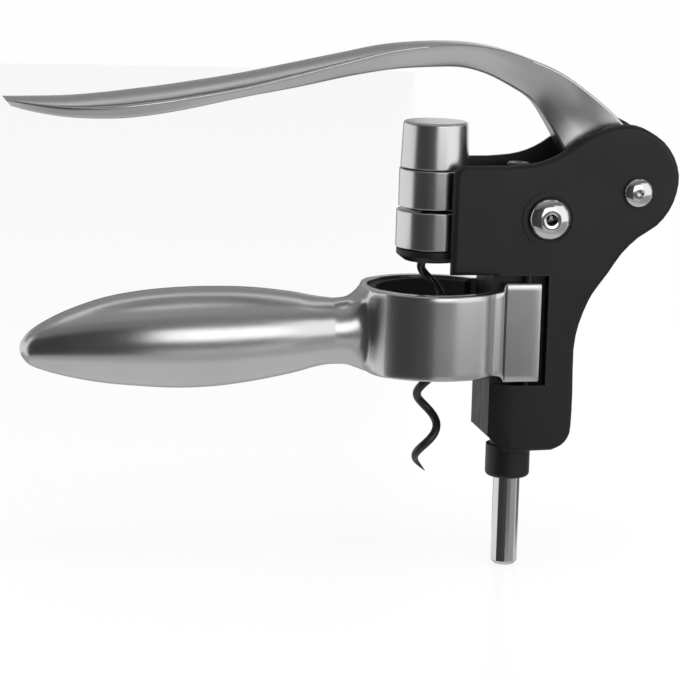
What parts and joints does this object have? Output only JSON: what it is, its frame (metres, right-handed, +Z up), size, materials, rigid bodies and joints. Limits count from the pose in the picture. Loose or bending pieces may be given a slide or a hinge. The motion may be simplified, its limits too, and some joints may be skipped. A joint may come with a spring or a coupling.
{
  "type": "lever corkscrew",
  "caption": "Lever corkscrew with an arched lever, two clamping handles that close a ring on a bottle neck, a coated worm and a guide rod.",
  "frame": {"origin": "on the worm's axis, at mid-height of the clamping ring", "axes": "+X from the ring towards the lever's pivot, so the handles point along -X; +Y from the near cheek to the far one; +Z up along the worm"},
  "size_m": [0.1955, 0.0436, 0.1557],
  "materials": {
    "satin_zinc": "satin cast zinc alloy",
    "polished_steel": "polished steel",
    "black_moulding": "black moulded plastic, soft sheen",
    "black_liner": "black rubber",
    "black_worm": "black non-stick coating on steel",
    "plain_steel": "plain steel",
    "natural_nylon": "natural nylon"
  },
  "bodies": {
    "frame": {"body_left": "black_moulding", "body_right": "black_moulding", "side_plate_left": "plain_steel", "side_plate_right": "plain_steel", "cover_rivet_left": "polished_steel", "cover_rivet_right": "polished_steel", "guide_sleeve": "black_moulding", "nut_ring": "satin_zinc", "nut_insert": "black_moulding", "hinge_pin_left": "polished_steel", "hinge_pin_right": "polished_steel", "lever_pin": "polished_steel"},
    "lever": {"lever": "satin_zinc", "lever_washer_left": "natural_nylon", "lever_washer_right": "natural_nylon", "crank_pin_left": "plain_steel", "crank_pin_right": "plain_steel", "crank_roller_left": "natural_nylon", "crank_roller_right": "natural_nylon"},
    "carriage": {"carriage": "satin_zinc", "guide_rod": "polished_steel", "rod_screw": "plain_steel", "worm_cap": "satin_zinc", "thrust_washer": "natural_nylon"},
    "worm": {"worm": "black_worm", "worm_bush": "plain_steel", "worm_head": "plain_steel"},
    "handle_left": {"handle_left": "satin_zinc", "jaw_liner_left": "black_liner"},
    "handle_right": {"handle_right": "satin_zinc", "jaw_liner_right": "black_liner"}
  },
  "joints": [
    {"name": "lever_pivot", "type": "hinge", "parent": "frame", "child": "lever", "pos_m": [0.0575, 0, 0.0417], "axis": [0, 1, 0], "range_deg": [0, 110]},
    {"name": "carriage_slide", "type": "slide", "parent": "frame", "child": "carriage", "axis": [0, 0, 1], "range_m": [0, 0.0558]},
    {"name": "worm_spin", "type": "hinge", "parent": "carriage", "child": "worm", "pos_m": [0, 0, 0.04], "axis": [0, 0, 1], "range_deg": [0, 1052]},
    {"name": "handle_left_hinge", "type": "hinge", "parent": "frame", "child": "handle_left", "pos_m": [0.0263, -0.01255, 0], "axis": [0, 0, 1], "range_deg": [0, 28]},
    {"name": "handle_right_hinge", "type": "hinge", "parent": "frame", "child": "handle_right", "pos_m": [0.0263, 0.01255, 0], "axis": [0, 0, -1], "range_deg": [0, 28]}
  ],
  "couplings": [
    {"joint": "carriage_slide", "follows": "lever_pivot", "m_per_rad": 0.029014},
    {"joint": "worm_spin", "follows": "lever_pivot", "ratio": 9.5446}
  ]
}
